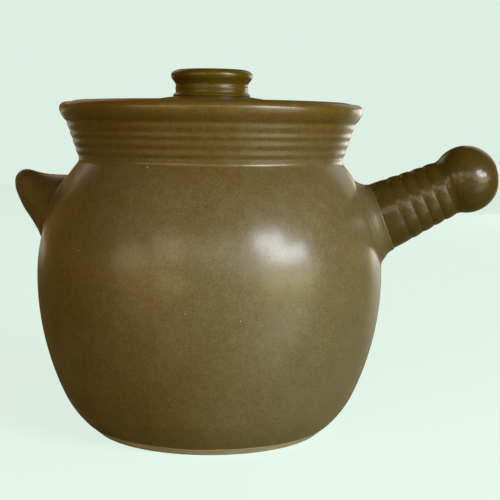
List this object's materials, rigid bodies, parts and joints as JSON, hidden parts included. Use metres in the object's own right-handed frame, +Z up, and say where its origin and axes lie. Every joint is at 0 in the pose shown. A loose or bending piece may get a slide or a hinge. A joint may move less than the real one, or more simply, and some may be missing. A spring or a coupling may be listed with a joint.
{
  "type": "stoneware soup pot",
  "caption": "Round-bellied glazed stoneware soup pot with a ribbed neck, a rolled rim, a hollow side handle ending in a bulb, a lifting lug and a loose domed lid with a ring knob.",
  "frame": {"origin": "centre of the flat foot, on the pot's axis at floor level", "axes": "+Z up along the pot's axis, +X towards the handle's bulb end, -X towards the lifting lug"},
  "size_m": [0.3249, 0.2284, 0.2377],
  "materials": {
    "pot_glaze": "satin olive-brown glaze",
    "handle_glaze": "glossier dark brown glaze"
  },
  "bodies": {
    "pot": {"pot_body": "pot_glaze", "handle": "handle_glaze", "handle_root_collar": "handle_glaze", "side_lug": "pot_glaze", "lug_root_band": "pot_glaze"},
    "lid": {"lid": "pot_glaze", "lid_knob": "handle_glaze"}
  },
  "joints": [
    {"name": "lid_lift", "type": "slide", "parent": "pot", "child": "lid", "axis": [0, 0, 1], "range_m": [0, 0.07]}
  ]
}
